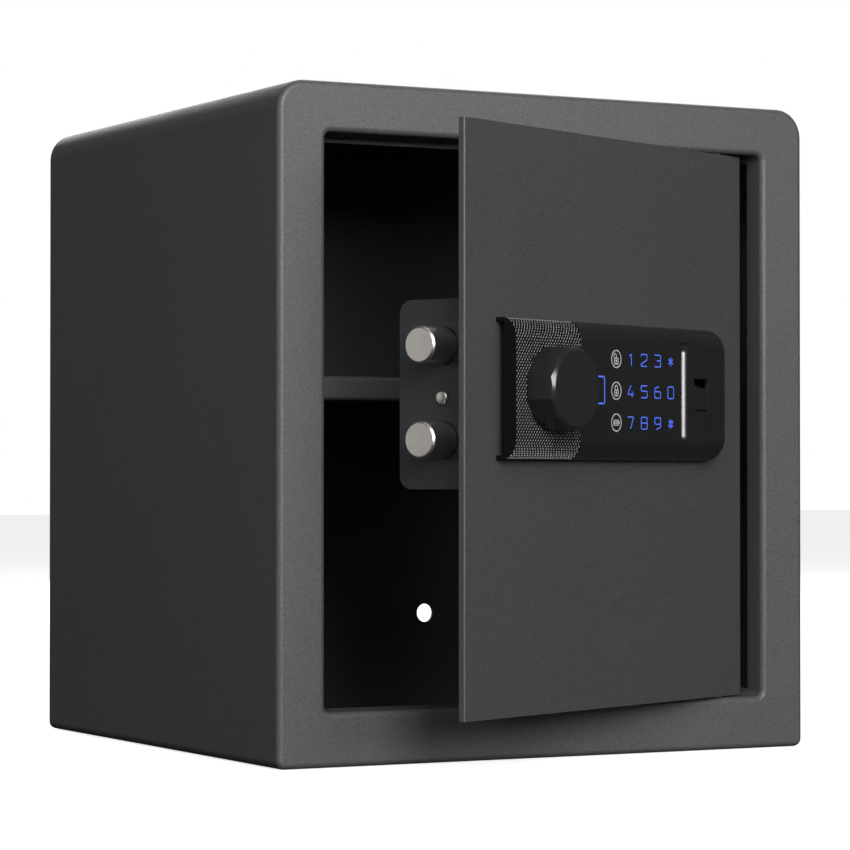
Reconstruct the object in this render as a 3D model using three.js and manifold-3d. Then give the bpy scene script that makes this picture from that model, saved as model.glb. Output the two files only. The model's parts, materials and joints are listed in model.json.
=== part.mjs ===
// A free-standing home safe with an electronic lock, its door standing part open.
// Millimetres, +Z up. The origin is the middle of the base, and the door faces -Y.
import * as THREE from "three";
import { mergeVertices } from "three/addons/utils/BufferGeometryUtils.js";
import Module from "manifold-3d";

const wasm = await Module();
wasm.setup();

// ---- Driving dimensions ----
const WIDTH = 365;
const DEPTH = 360;
const HEIGHT = 400;
const SHEET = 3; // body sheet
const BEND = 3.5; // outer radius of every folded body edge
const GAP = 0.3; // between pieces that touch
const CORNER = { top: 17.5, bottom: 5 }; // outer corner radii
const FRAME = { left: 30.7, right: 30.5, top: 29.7, bottom: 32.2, corner: 3.8 };
const FLANGE = { side: 16.5, top: 32 }; // how far the opening's edge folds inwards
const REAR_LIP = 12;
const ANCHOR = { r: 6.5, x: 102, z: 72.3 };
const SHELF = { top: 231, front: -90, back: 165, lip: 15, sheet: 1.5, bend: 3 };

// The door's own frame: x runs from the hinge axis, y goes into the safe, z as the body's.
const PIVOT = { x: 123.5, y: -172 };
const OPEN_ANGLE = 24.91;
const DOOR = { width: 294.5, plate: 4, bottom: 33.2, top: 369.3, bend: 5, fold: 9.5 };
const FREE_EDGE = -273.73; // x of the free edge from the hinge axis
const FACE = -6.5; // y of the outer face from the hinge axis
const PIN = { r: 3, bore: 3.3, sleeve: 4.1, hole: 4.4 };
const BLOCK = { half: 11, near: 3.5, far: 14, height: 23, relief: 3.2 };

// The lock case behind the door, as distances from the free edge (s) and behind the face (d).
const CASE = { s0: 23.7, s1: 240, d0: 4.3, d1: 63.5, z0: 162, z1: 270, r: 8, wall: 1.5 };
const BOLT = { r: 10.65, d: 32.9, z: [243.3, 189.9], tip: 1.5, end: 49.7, spigot: 4 };
const KNOB = { s: 63.5, z: 219, base: 24.8, rim: 24, face: 21.8, sides: 12 };
const CRANK = { r: 10, angle: 45, pin: 2.5, slot: 3.1 };
const BAR = { s0: 50, s1: 104, d0: 37, d1: 40, z0: 203, z1: 234, plate: 3 };
const BOLT_THROW = 2 * CRANK.r * Math.cos((CRANK.angle * Math.PI) / 180);
const SOLENOID = { s: 82, d: 38.5, z0: 248, z1: 266, half: 10, plunger: 3, stroke: 5 };
const BATTERY = { r: 7.15, length: 50, pitch: 15.2, s: 166, d: 52.6, z: 192 };

// The lock panel on the door's face: s as above, t outwards from the face.
const PANEL = { s0: 29.4, split: 94, s1: 253.5, z0: 178.8, z1: 259, t: 14.2, end: 9 };
const PANEL_ROUND = { s: 4, t: 10.5, z: 11.5, end: 3.5 }; // its front edges are elliptical
const PANEL_WALL = 2.4;
const GRIP = 5.5; // height of the finger grip behind the panel's end
const TRIM = { s: 203.6, half: 2.6, z0: 190.8, z1: 245.5, slot: 249.5, deep: 1.7 };
const KEY = { s: 222.85, z: 216.2, half: 7.95, notch: 228.4, top: 223.5, bottom: 209 };

const ARC = 6; // steps in a quarter turn of a small radius
const ROUND = 32; // sides of a round piece

// ---- Materials ----
const paint = (color, roughness, metalness) =>
  new THREE.MeshStandardMaterial({ color, roughness, metalness });
const bodyPaint = paint(0x4c4c4d, 0.6, 0.3);
const doorPaint = paint(0x434344, 0.6, 0.3);
const casePaint = paint(0x3d4043, 0.5, 0.3);
const blackPlastic = paint(0x1c1c1d, 0.45, 0);
const knobPlastic = paint(0x202021, 0.55, 0);
const boltSteel = paint(0x9d9690, 0.3, 1);
const plainSteel = paint(0x8a8c8e, 0.4, 1);
const trimMetal = paint(0xc8c8c8, 0.25, 1);
const brassMetal = paint(0xb08d4a, 0.35, 1);
const boardGreen = paint(0x1f5a35, 0.5, 0);
const cellWrap = paint(0x2f3a44, 0.35, 0.2);
const redPlastic = paint(0xb02020, 0.4, 0);
const bushPlastic = paint(0xd9d6cc, 0.5, 0);

// ---- Solids ----
function solid(geometry) {
  const plain = geometry.index ? geometry.toNonIndexed() : geometry.clone();
  plain.deleteAttribute("normal");
  plain.deleteAttribute("uv");
  const merged = mergeVertices(plain, 1e-4);
  return new wasm.Manifold(
    new wasm.Mesh({
      numProp: 3,
      vertProperties: merged.attributes.position.array,
      triVerts: new Uint32Array(merged.index.array),
    }),
  );
}

function mesh(name, shape, material) {
  const m = shape.getMesh();
  const geometry = new THREE.BufferGeometry();
  geometry.setAttribute("position", new THREE.BufferAttribute(m.vertProperties, 3));
  geometry.setIndex(new THREE.BufferAttribute(m.triVerts, 1));
  geometry.computeVertexNormals();
  const made = new THREE.Mesh(geometry, material);
  made.name = name;
  return made;
}

function box(x0, x1, y0, y1, z0, z1) {
  const g = new THREE.BoxGeometry(x1 - x0, y1 - y0, z1 - z0);
  return solid(g.translate((x0 + x1) / 2, (y0 + y1) / 2, (z0 + z1) / 2));
}

// Turns a solid of revolution about local Y so that it runs along an axis, from the point at.
function aim(geometry, axis, at) {
  if (axis === "x") geometry.rotateZ(-Math.PI / 2);
  if (axis === "-x") geometry.rotateZ(Math.PI / 2);
  if (axis === "-y") geometry.rotateX(Math.PI);
  if (axis === "z") geometry.rotateX(Math.PI / 2);
  return geometry.translate(...at);
}

// A turned piece: [radius, distance] points, from the axis and back to it.
function turned(profile, axis, at, sides = ROUND, start = 0) {
  const points = profile.map(([r, h]) => new THREE.Vector2(r, h));
  return solid(aim(new THREE.LatheGeometry(points, sides, start), axis, at));
}

const rod = (r, length, axis, at, sides) =>
  turned([[0, 0], [r, 0], [r, length], [0, length]], axis, at, sides);

// A flat outline pushed along an axis: x takes (y, z) points, y takes (x, z), z takes (x, y).
function extrude(shape, axis, from, to) {
  const g = new THREE.ExtrudeGeometry(shape, {
    depth: to - from,
    bevelEnabled: false,
    curveSegments: ARC,
  });
  const turn = new THREE.Matrix4();
  if (axis === "x") {
    turn.makeBasis(
      new THREE.Vector3(0, 1, 0),
      new THREE.Vector3(0, 0, 1),
      new THREE.Vector3(1, 0, 0),
    );
    g.applyMatrix4(turn).translate(from, 0, 0);
  }
  if (axis === "y") g.rotateX(Math.PI / 2).translate(0, to, 0);
  if (axis === "z") g.translate(0, 0, from);
  return solid(g);
}

function outline(points) {
  return new THREE.Shape(points.map(([a, b]) => new THREE.Vector2(a, b)));
}

// Points of a rectangle with rounded corners in (x, z), anticlockwise from the lower right.
function roundedLoop(x0, x1, z0, z1, topRadius, bottomRadius) {
  const corners = [
    [x1 - bottomRadius, z0 + bottomRadius, bottomRadius, -90],
    [x1 - topRadius, z1 - topRadius, topRadius, 0],
    [x0 + topRadius, z1 - topRadius, topRadius, 90],
    [x0 + bottomRadius, z0 + bottomRadius, bottomRadius, 180],
  ];
  const points = [];
  for (const [cx, cz, r, start] of corners)
    for (let i = 0; i <= ARC + 2; i++) {
      const a = THREE.MathUtils.degToRad(start + (90 * i) / (ARC + 2));
      points.push([cx + r * Math.cos(a), cz + r * Math.sin(a)]);
    }
  return points;
}

// Joins loops of [x, z] points into one skin, from the largest y down, as a ring or with caps.
function loft(loops, ring) {
  const count = loops[0].points.length;
  const positions = loops.flatMap(({ y, points }) => points.flatMap(([x, z]) => [x, y, z]));
  const index = [];
  const steps = ring ? loops.length : loops.length - 1;
  for (let i = 0; i < steps; i++)
    for (let j = 0; j < count; j++) {
      const a = i * count + j;
      const b = i * count + ((j + 1) % count);
      const c = ((i + 1) % loops.length) * count + j;
      const d = ((i + 1) % loops.length) * count + ((j + 1) % count);
      index.push(a, b, d, a, d, c);
    }
  if (!ring)
    for (let j = 1; j < count - 1; j++) {
      const last = (loops.length - 1) * count;
      index.push(j + 1, j, 0, last, last + j, last + j + 1);
    }
  const g = new THREE.BufferGeometry();
  g.setAttribute("position", new THREE.Float32BufferAttribute(positions, 3));
  g.setIndex(index);
  return solid(g);
}

// Quarter-turn steps: [how far along the first leg, how far along the second], from 0 to 1.
function quarter(steps = ARC) {
  return Array.from({ length: steps + 1 }, (_, i) => {
    const a = (Math.PI / 2) * (i / steps);
    return [Math.sin(a), 1 - Math.cos(a)];
  });
}

// ---- Body ----
const FRONT = -DEPTH / 2;
const BACK = DEPTH / 2;

// A section of the folded skin, set in by the same amount from every outer side.
function outerSection(inset, y) {
  const half = WIDTH / 2 - inset;
  const top = Math.max(CORNER.top - inset, 1);
  const bottom = Math.max(CORNER.bottom - inset, 1);
  return { y, points: roundedLoop(-half, half, inset, HEIGHT - inset, top, bottom) };
}

// A section that stands off from the opening's edge by the same amount all round.
function openingSection(off, y) {
  const x0 = -WIDTH / 2 + FRAME.left - off;
  const x1 = WIDTH / 2 - FRAME.right + off;
  const r = FRAME.corner + off;
  return { y, points: roundedLoop(x0, x1, FRAME.bottom - off, HEIGHT - FRAME.top + off, r, r) };
}

function bodyShell() {
  const inner = BEND - SHEET;
  const bends = quarter();
  const loops = [outerSection(REAR_LIP, BACK - SHEET), outerSection(REAR_LIP, BACK)];
  for (const [u, v] of bends) loops.push(outerSection(BEND * (1 - u), BACK - BEND * v));
  for (const [u, v] of bends) loops.push(outerSection(BEND * v, FRONT + BEND * (1 - u)));
  for (const [u, v] of bends) loops.push(openingSection(BEND * (1 - u), FRONT + BEND * v));
  loops.push(openingSection(0, FRONT + FLANGE.top), openingSection(SHEET, FRONT + FLANGE.top));
  for (const [u, v] of quarter(1))
    loops.push(openingSection(SHEET + inner * v, FRONT + SHEET + inner * (1 - u)));
  for (const [u, v] of quarter(1))
    loops.push(outerSection(SHEET + inner * (1 - u), FRONT + SHEET + inner * v));
  for (const [u, v] of quarter(1))
    loops.push(outerSection(SHEET + inner * v, BACK - SHEET - inner * (1 - u)));
  let shell = loft(loops, true);
  const low = FRAME.bottom + FRAME.corner;
  const high = HEIGHT - FRAME.top - FRAME.corner;
  const cut = [FRONT + FLANGE.side, FRONT + FLANGE.top + 1, low, high];
  const left = -WIDTH / 2 + FRAME.left;
  const right = WIDTH / 2 - FRAME.right;
  shell = shell.subtract(box(left - SHEET - 1, left + 1, ...cut));
  shell = shell.subtract(box(right - 1, right + SHEET + 1, ...cut));
  for (const z of [HEIGHT - FRAME.top - 1, FRAME.bottom - SHEET - 1])
    shell = shell.subtract(rod(PIN.hole, SHEET + 2, "z", [PIVOT.x, PIVOT.y, z]));
  for (const side of [-1, 1])
    shell = shell.subtract(rod(ANCHOR.r, SHEET + 2, "z", [side * ANCHOR.x, 0, -1]));
  return mesh("body_shell", shell, bodyPaint);
}

function backPanel() {
  const inset = SHEET + GAP;
  const far = BACK - SHEET - GAP;
  const set = inset + 0.6;
  let plate = loft([outerSection(set, far), outerSection(set, far - SHEET)], false);
  for (const side of [-1, 1]) {
    const at = [side * ANCHOR.x, far - SHEET - 1, ANCHOR.z];
    plate = plate.subtract(rod(ANCHOR.r, SHEET + 2, "y", at));
  }
  return mesh("back_panel", plate, bodyPaint);
}

function stopStrip() {
  const y0 = FRONT + FLANGE.top + GAP;
  const low = HEIGHT - FRAME.top - SHEET;
  const half = 143;
  const tall = 8.7;
  return mesh("door_stop_strip", box(-half, half, y0, y0 + SHEET, low, low + tall), bodyPaint);
}

function shelf() {
  const { top, front, back, lip, sheet, bend } = SHELF;
  const inner = bend - sheet;
  const hem = 12;
  const s = new THREE.Shape();
  s.moveTo(back, top);
  s.lineTo(front + bend, top);
  s.absarc(front + bend, top - bend, bend, Math.PI / 2, Math.PI, false);
  s.absarc(front + bend, top - lip + bend, bend, Math.PI, 1.5 * Math.PI, false);
  s.lineTo(front + hem, top - lip);
  s.lineTo(front + hem, top - lip + sheet);
  s.absarc(front + bend, top - lip + bend, inner, 1.5 * Math.PI, Math.PI, true);
  s.absarc(front + bend, top - bend, inner, Math.PI, Math.PI / 2, true);
  s.lineTo(back, top - sheet);
  const half = WIDTH / 2 - SHEET - 2;
  return mesh("shelf", extrude(s, "x", -half, half), bodyPaint);
}

function shelfBrackets() {
  const made = [];
  const wall = WIDTH / 2 - SHEET - GAP;
  const ledge = SHELF.top - SHELF.sheet - GAP;
  for (const [side, sideName] of [[-1, "left"], [1, "right"]])
    for (const [y, rowName] of [[-70, "front"], [125, "rear"]]) {
      const xs = [side * wall, side * (wall - 16)].sort((a, b) => a - b);
      const leg = [side * wall, side * (wall - 2)].sort((a, b) => a - b);
      const angle = box(...xs, y, y + 25, ledge - 2, ledge).add(
        box(...leg, y, y + 25, ledge - 20, ledge),
      );
      made.push(mesh("shelf_bracket_" + sideName + "_" + rowName, angle, plainSteel));
    }
  return made;
}

function hingeBushes() {
  const length = 6;
  const sleeve = (z) =>
    rod(PIN.sleeve, length, "z", [PIVOT.x, PIVOT.y, z]).subtract(
      rod(PIN.bore, length + 2, "z", [PIVOT.x, PIVOT.y, z - 1]),
    );
  const top = HEIGHT - FRAME.top;
  return [
    mesh("hinge_bush_top", sleeve(top), brassMetal),
    mesh("hinge_bush_bottom", sleeve(FRAME.bottom - length), brassMetal),
  ];
}

// ---- Door ----
const X = (s) => FREE_EDGE + s;
const Y = (d) => FACE + d;
const T = (t) => FACE - t;

function doorPanel() {
  const { width, plate, bend, fold, bottom, top } = DOOR;
  const bevel = 0.6;
  const s = new THREE.Shape();
  s.moveTo(X(0), Y(bevel));
  s.lineTo(X(bevel), Y(0));
  s.lineTo(X(width - bend), Y(0));
  s.absarc(X(width - bend), Y(bend), bend, -Math.PI / 2, 0, false);
  s.lineTo(X(width), Y(fold));
  s.lineTo(X(width - plate), Y(fold));
  s.absarc(X(width - bend), Y(bend), bend - plate, 0, -Math.PI / 2, true);
  s.lineTo(X(0), Y(plate));
  let shape = extrude(s, "z", bottom, top);
  const holes = [[KNOB.s, KNOB.z, 6], [150, KNOB.z, 7], [KEY.s, KEY.z, 8.6]];
  for (const [hs, hz, r] of holes)
    shape = shape.subtract(rod(r, plate + 2, "y", [X(hs), Y(-1), hz]));
  const room = BLOCK.half + 1;
  const relief = [-room, room, Y(BLOCK.relief), Y(plate + 1)];
  for (const z of [bottom - 1, top - BLOCK.height - 3])
    shape = shape.subtract(box(...relief, z, z + BLOCK.height + 4));
  return mesh("door_panel", shape, doorPaint);
}

function hingeFittings() {
  const { half, near, far, height } = BLOCK;
  const made = [];
  const topBlock = DOOR.top - 2 - height;
  const bottomBlock = DOOR.bottom + 2;
  const pinDepth = 16;
  const reach = 5.6;
  for (const [name, z, up] of [["top", topBlock, true], ["bottom", bottomBlock, false]]) {
    const pinLow = up ? z + height - pinDepth : z - reach;
    const bore = rod(PIN.bore, pinDepth + 2, "z", [0, 0, up ? pinLow - GAP : z - 2 + GAP]);
    const block = box(-half, half, Y(near), Y(far), z, z + height).subtract(bore);
    const pin = rod(PIN.r, pinDepth + reach, "z", [0, 0, pinLow]);
    made.push(mesh("hinge_block_" + name, block, plainSteel));
    made.push(mesh("hinge_pin_" + name, pin, boltSteel));
  }
  return made;
}

const POSTS = [
  [42, 172],
  [42, 260],
  [228, 172],
  [228, 260],
];

function caseOutline(off) {
  const { d0, d1, z0, z1, r } = CASE;
  const near = Y(d0) - (off ? 1 : 0);
  const far = Y(d1 - off);
  const low = z0 + off;
  const high = z1 - off;
  const round = r - off;
  const s = new THREE.Shape();
  s.moveTo(near, low);
  s.lineTo(far - round, low);
  s.absarc(far - round, low + round, round, -Math.PI / 2, 0, false);
  s.absarc(far - round, high - round, round, 0, Math.PI / 2, false);
  s.lineTo(near, high);
  return s;
}

const SIDE_SCREW = { d: 33, z: 213.9, r: 4.2 };
const BATTERY_DOOR = { s0: 158, s1: 220, z0: 190, z1: 244 };
const RESET = { s: 130, z: 245, r: 3.5, travel: 1.5 };

function lockCase() {
  const { s0, s1, d1, wall } = CASE;
  let shape = extrude(caseOutline(0), "x", X(s0), X(s1));
  shape = shape.subtract(extrude(caseOutline(wall), "x", X(s0 + wall), X(s1 - wall)));
  for (const z of BOLT.z)
    shape = shape.subtract(rod(BOLT.r + 0.5, wall + 2, "x", [X(s0 - 1), Y(BOLT.d), z]));
  const sideHole = [X(s0 - 1), Y(SIDE_SCREW.d), SIDE_SCREW.z];
  shape = shape.subtract(rod(1.9, wall + 2, "x", sideHole, 16));
  for (const [s, z] of POSTS)
    shape = shape.subtract(rod(2.3, wall + 2, "y", [X(s), Y(d1 - wall - 1), z], 16));
  const rear = d1 - wall - 1;
  shape = shape.subtract(rod(RESET.r + 0.5, wall + 2, "y", [X(RESET.s), Y(rear), RESET.z]));
  const { s0: b0, s1: b1, z0, z1 } = BATTERY_DOOR;
  shape = shape.subtract(box(X(b0), X(b1), Y(rear), Y(d1 + 1), z0, z1));
  return mesh("lock_case", shape, casePaint);
}

function caseFasteners() {
  const made = [];
  const { d0, d1, wall, s0 } = CASE;
  POSTS.forEach(([s, z], i) => {
    const end = d1 - wall - GAP;
    const bore = rod(2.3, 14, "y", [X(s), Y(end - 13), z], 16);
    const post = rod(4, end - d0, "y", [X(s), Y(d0), z], 6).subtract(bore);
    made.push(mesh("case_post_" + (i + 1), post, plainSteel));
    const profile = [[0, 0], [2, 0], [2, 12], [3.5, 12], [3.5, 13.2], [2.4, 14.4], [0, 14.4]];
    const screw = turned(profile, "y", [X(s), Y(d1 + GAP - 12), z], 16);
    made.push(mesh("case_screw_" + (i + 1), screw, plainSteel));
  });
  const { r } = SIDE_SCREW;
  const dome = [[0, 0], [1.6, 0], [1.6, 8], [r, 8], [r - 0.1, 9], [r - 1.2, 10], [0, 10.5]];
  const at = [X(s0 - GAP + 8), Y(SIDE_SCREW.d), SIDE_SCREW.z];
  made.push(mesh("case_side_screw", turned(dome, "-x", at, 20), boltSteel));
  return made;
}

function boltBushes() {
  const s0 = CASE.s0 + CASE.wall + GAP;
  return BOLT.z.map((z, i) => {
    const ring = rod(14, 9, "x", [X(s0), Y(BOLT.d), z]).subtract(
      rod(BOLT.r + 0.35, 11, "x", [X(s0 - 1), Y(BOLT.d), z]),
    );
    return mesh(["bolt_bush_upper", "bolt_bush_lower"][i], ring, bushPlastic);
  });
}

function liveBolts() {
  const { r, d, tip, end, spigot } = BOLT;
  const chamfer = 1.1;
  const length = end - tip;
  const profile = [
    [0, 0],
    [r - chamfer, 0],
    [r, chamfer],
    [r, length],
    [spigot, length],
    [spigot, length + 9.5],
    [0, length + 9.5],
  ];
  return BOLT.z.map((z, i) => {
    const name = ["live_bolt_upper", "live_bolt_lower"][i];
    return mesh(name, turned(profile, "x", [X(tip), Y(d), z], 40), boltSteel);
  });
}

function boltNuts() {
  return BOLT.z.map((z, i) => {
    const from = BAR.s0 + BAR.plate + GAP;
    const nut = rod(7, 5, "x", [X(from), Y(BOLT.d), z], 6).subtract(
      rod(BOLT.spigot + GAP, 7, "x", [X(from - 1), Y(BOLT.d), z], 20),
    );
    return mesh(["bolt_nut_upper", "bolt_nut_lower"][i], nut, plainSteel);
  });
}

function boltBar() {
  const { s0, s1, d0, d1, z0, z1, plate } = BAR;
  const margin = 12;
  const low = BOLT.z[1] - margin;
  const high = BOLT.z[0] + margin;
  let bar = box(X(s0), X(s1), Y(d0), Y(d1), z0, z1);
  bar = bar.add(box(X(s0), X(s0 + plate), Y(BOLT.d - margin), Y(d1), low, high));
  for (const z of BOLT.z)
    bar = bar.subtract(rod(BOLT.spigot + GAP, plate + 2, "x", [X(s0 - 1), Y(BOLT.d), z], 20));
  const turn = THREE.MathUtils.degToRad(CRANK.angle);
  const slotS = KNOB.s + CRANK.r * Math.cos(turn);
  const slotLow = KNOB.z + CRANK.r * Math.sin(turn) - CRANK.slot;
  const slotHigh = KNOB.z + CRANK.r + CRANK.slot;
  const slot = [X(slotS - CRANK.slot), X(slotS + CRANK.slot), Y(d0 - 1), Y(d1 + 1)];
  bar = bar.subtract(box(...slot, slotLow, slotHigh));
  for (const shift of [0, BOLT_THROW]) {
    const mid = SOLENOID.s + shift;
    const half = SOLENOID.plunger + 0.7;
    const notch = [X(mid - half), X(mid + half), Y(d0 - 1), Y(d1 + 1)];
    bar = bar.subtract(box(...notch, z1 - SOLENOID.stroke - 1, z1 + 1));
  }
  return mesh("bolt_bar", bar, plainSteel);
}

// ---- Knob ----
function knobParts() {
  const { s, z, base, rim, face, sides } = KNOB;
  const foot = PANEL.t + GAP;
  const front = foot + 18.1;
  const cone = 3.2; // the front edge is turned off at 45 degrees, as on a nut
  const flats = [[0, foot], [base, foot], [rim, front], [0, front]];
  const chamfer = [
    [0, foot - 1],
    [face + cone, foot - 1],
    [face + cone, front - cone],
    [face, front],
    [0, front],
  ];
  const bore = rod(4 + GAP, foot + 11.3, "-y", [X(s), T(0), z]);
  const grip = turned(flats, "-y", [X(s), T(0), z], sides, Math.PI / sides)
    .intersect(turned(chamfer, "-y", [X(s), T(0), z], 48))
    .subtract(bore);
  const reach = BAR.d0 - 2;
  const spindle = rod(4, foot + 11 + reach, "-y", [X(s), Y(reach), z]);
  return [
    mesh("knob", grip, knobPlastic),
    mesh("knob_spindle", spindle, plainSteel),
    mesh("drive_cam", driveCam(reach), plainSteel),
  ];
}

function driveCam(reach) {
  const { s, z } = KNOB;
  const thick = 4;
  const turn = THREE.MathUtils.degToRad(CRANK.angle);
  const ps = s + CRANK.r * Math.cos(turn);
  const pz = z + CRANK.r * Math.sin(turn);
  const d0 = reach - thick;
  const reachBy = 5;
  const across = new THREE.Vector2(-Math.sin(turn), Math.cos(turn)).multiplyScalar(reachBy);
  const arm = outline([
    [X(s) + across.x, z + across.y],
    [X(s) - across.x, z - across.y],
    [X(ps) - across.x, pz - across.y],
    [X(ps) + across.x, pz + across.y],
  ]);
  const hub = rod(8, thick, "y", [X(s), Y(d0), z]);
  const eye = rod(reachBy, thick, "y", [X(ps), Y(d0), pz]);
  const pin = rod(CRANK.pin, thick + BAR.d1 - reach + 1, "y", [X(ps), Y(d0), pz], 20);
  const bore = rod(4 + GAP, thick + 2, "y", [X(s), Y(d0 - 1), z]);
  return hub.add(extrude(arm, "y", Y(d0), Y(d0 + thick))).add(eye).add(pin).subtract(bore);
}

// ---- Solenoid ----
const COLLAR = { z: 239.8, thick: 1.6, r: 5.4 };

function solenoidBody() {
  const { s, d, z0, z1, half, plunger } = SOLENOID;
  const can = box(X(s - half), X(s + half), Y(d - half), Y(d + half), z0, z1);
  const bore = rod(plunger + 0.4, z1 - z0 - 3, "z", [X(s), Y(d), z0 - 1], 20);
  return mesh("solenoid_body", can.subtract(bore), plainSteel);
}

function solenoidPlunger() {
  const { s, d, z0, plunger } = SOLENOID;
  const tip = BAR.z1 + 0.6;
  const low = COLLAR.z - tip;
  const profile = [
    [0, 0],
    [plunger, 0],
    [plunger, low],
    [COLLAR.r, low],
    [COLLAR.r, low + COLLAR.thick],
    [plunger, low + COLLAR.thick],
    [plunger, z0 + 12 - tip],
    [0, z0 + 12 - tip],
  ];
  return mesh("solenoid_plunger", turned(profile, "z", [X(s), Y(d), tip], 20), boltSteel);
}

function plungerSpring() {
  const { s, d, z0 } = SOLENOID;
  const wire = 0.45;
  const from = COLLAR.z + COLLAR.thick + GAP + wire;
  const to = z0 - GAP - wire;
  const turns = 4;
  const steps = 48;
  const coil = Array.from({ length: steps + 1 }, (_, i) => {
    const a = (2 * Math.PI * turns * i) / steps;
    const z = from + ((to - from) * i) / steps;
    return new THREE.Vector3(X(s) + 4.3 * Math.cos(a), Y(d) + 4.3 * Math.sin(a), z);
  });
  const path = new THREE.CatmullRomCurve3(coil);
  const wireShape = new THREE.Shape().absarc(0, 0, wire, 0, 2 * Math.PI, false);
  const g = new THREE.ExtrudeGeometry(wireShape, {
    steps,
    extrudePath: path,
    curveSegments: 3,
    bevelEnabled: false,
  });
  return mesh("plunger_spring", solid(g), boltSteel);
}

// ---- Electronics and batteries ----
function circuitBoard() {
  const board = box(X(108), X(150), Y(8), Y(9.6), 176, 256);
  const relay = box(X(114), X(130), Y(9), Y(22), 184, 204);
  const socket = box(X(112), X(146), Y(9), Y(15), 240, 250);
  return mesh("circuit_board", board.add(relay).add(socket), boardGreen);
}

function batteryTray() {
  const far = CASE.d1 - CASE.wall - GAP;
  const s0 = BATTERY.s - BATTERY.r - GAP;
  const s1 = BATTERY.s + 3 * BATTERY.pitch + BATTERY.r + GAP;
  const near = BATTERY.d - BATTERY.r - GAP;
  const z0 = BATTERY.z - 1;
  const z1 = BATTERY.z + BATTERY.length + 1;
  const well = (wall, end) =>
    box(X(s0 - wall), X(s1 + wall), Y(near - wall), Y(end), z0 - wall, z1 + wall);
  return mesh("battery_tray", well(1.6, far).subtract(well(0, far + 1)), blackPlastic);
}

function batteries() {
  const { r, length, pitch, s, d, z } = BATTERY;
  const nub = { r: 2.7, tall: 1.5 };
  const profile = [
    [0, 0],
    [r, 0],
    [r, length - nub.tall],
    [nub.r, length - nub.tall],
    [nub.r, length],
    [0, length],
  ];
  return [0, 1, 2, 3].map((i) => {
    const cell = turned(profile, "z", [X(s + i * pitch), Y(d), z], 24);
    return mesh("battery_" + (i + 1), cell, cellWrap);
  });
}

function batteryCover() {
  const margin = 2.5;
  const { s0, s1, z0, z1 } = BATTERY_DOOR;
  const near = Y(CASE.d1 + GAP);
  const thick = 1.8;
  let lid = box(X(s0 - margin), X(s1 + margin), near, near + thick, z0 - margin, z1 + margin);
  for (const z of [4, 8, 12]) {
    const groove = [X(s0 + 18), X(s1 - 18), near + thick - 0.7, near + thick + 1];
    lid = lid.subtract(box(...groove, z0 + z, z0 + z + 2));
  }
  return mesh("battery_cover", lid, blackPlastic);
}

function resetParts() {
  const { s, z, r } = RESET;
  const stem = CASE.d1 - 4;
  const button = turned(
    [[0, 0], [r, 0], [r, 6], [r - 0.6, 6.6], [0, 6.6]],
    "y",
    [X(s), Y(stem), z],
    24,
  );
  const body = box(X(s - 6), X(s + 6), Y(stem - 9), Y(stem - RESET.travel - 0.5), z - 6, z + 6);
  return [mesh("reset_button", button, redPlastic), mesh("reset_switch", body, blackPlastic)];
}

// ---- Lock panel on the door's face ----
// A round-edged block, set in by off on every side, from t = from to its front.
function panelBlock(off, from, s0) {
  const { s1, z0, z1, t, end } = PANEL;
  const round = { s: PANEL_ROUND.s - off, t: PANEL_ROUND.t - off, z: PANEL_ROUND.z - off };
  const section = (v, at) => {
    const z = off + round.z * v;
    const right = X(s1 - off - round.s * v);
    const corner = Math.max(end - off - (end - PANEL_ROUND.end) * v, 1);
    return { y: T(at), points: roundedLoop(X(s0), right, z0 + z, z1 - z, corner, corner) };
  };
  const loops = [section(0, from)];
  for (const [u, v] of quarter(ARC + 2)) loops.push(section(v, t - off - round.t * (1 - u)));
  return loft(loops, false);
}

function meshCover() {
  const { s0, split } = PANEL;
  const far = 2 * PANEL.end;
  let cover = panelBlock(0, GAP, s0 - far).subtract(panelBlock(PANEL_WALL, -1, s0 - far));
  cover = cover.intersect(box(X(s0), X(split), T(20), T(-2), 0, HEIGHT));
  const cap = panelBlock(0, GAP, s0 - far).intersect(
    box(X(s0), X(s0 + PANEL_WALL), T(20), T(GRIP), 0, HEIGHT),
  );
  const hole = rod(5.5, 30, "-y", [X(KNOB.s), T(0), KNOB.z]);
  return mesh("mesh_cover", cover.add(cap).subtract(hole), blackPlastic);
}

function keypadFascia() {
  const { split, t } = PANEL;
  const far = 2 * PANEL.end;
  let shape = panelBlock(0, GAP, split - far).subtract(panelBlock(PANEL_WALL, -1, split - far));
  shape = shape.intersect(box(X(split + GAP), X(400), T(20), T(-2), 0, HEIGHT));
  const groove = [X(TRIM.s - TRIM.half - GAP), X(TRIM.s + TRIM.half + GAP)];
  shape = shape.subtract(box(...groove, T(t + 1), T(t - TRIM.deep), TRIM.z0 - GAP, TRIM.slot));
  const { s, half, notch, bottom } = KEY;
  shape = shape.subtract(box(X(s - half), X(s + half), T(t + 1), T(t - 5), bottom, notch));
  return mesh("keypad_fascia", shape, blackPlastic);
}

function panelBase() {
  const { s1, z0, z1 } = PANEL;
  const side = PANEL_WALL + GAP;
  const plate = 2.4;
  const inset = side + 4;
  const width = [X(40), X(s1 - inset)];
  let base = box(...width, T(plate + GAP), T(GAP), z0 + inset, z1 - inset);
  for (const [hs, hz, r] of [[KNOB.s, KNOB.z, 5.5], [150, KNOB.z, 7], [KEY.s, KEY.z, 8.6]])
    base = base.subtract(rod(r, 8, "y", [X(hs), T(6), hz]));
  return mesh("panel_base", base, blackPlastic);
}

function keypadBoard() {
  const front = PANEL.t - PANEL_WALL - GAP;
  return mesh("keypad_board", box(X(102), X(196), T(front), T(front - 1.6), 194, 244), boardGreen);
}

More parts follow.
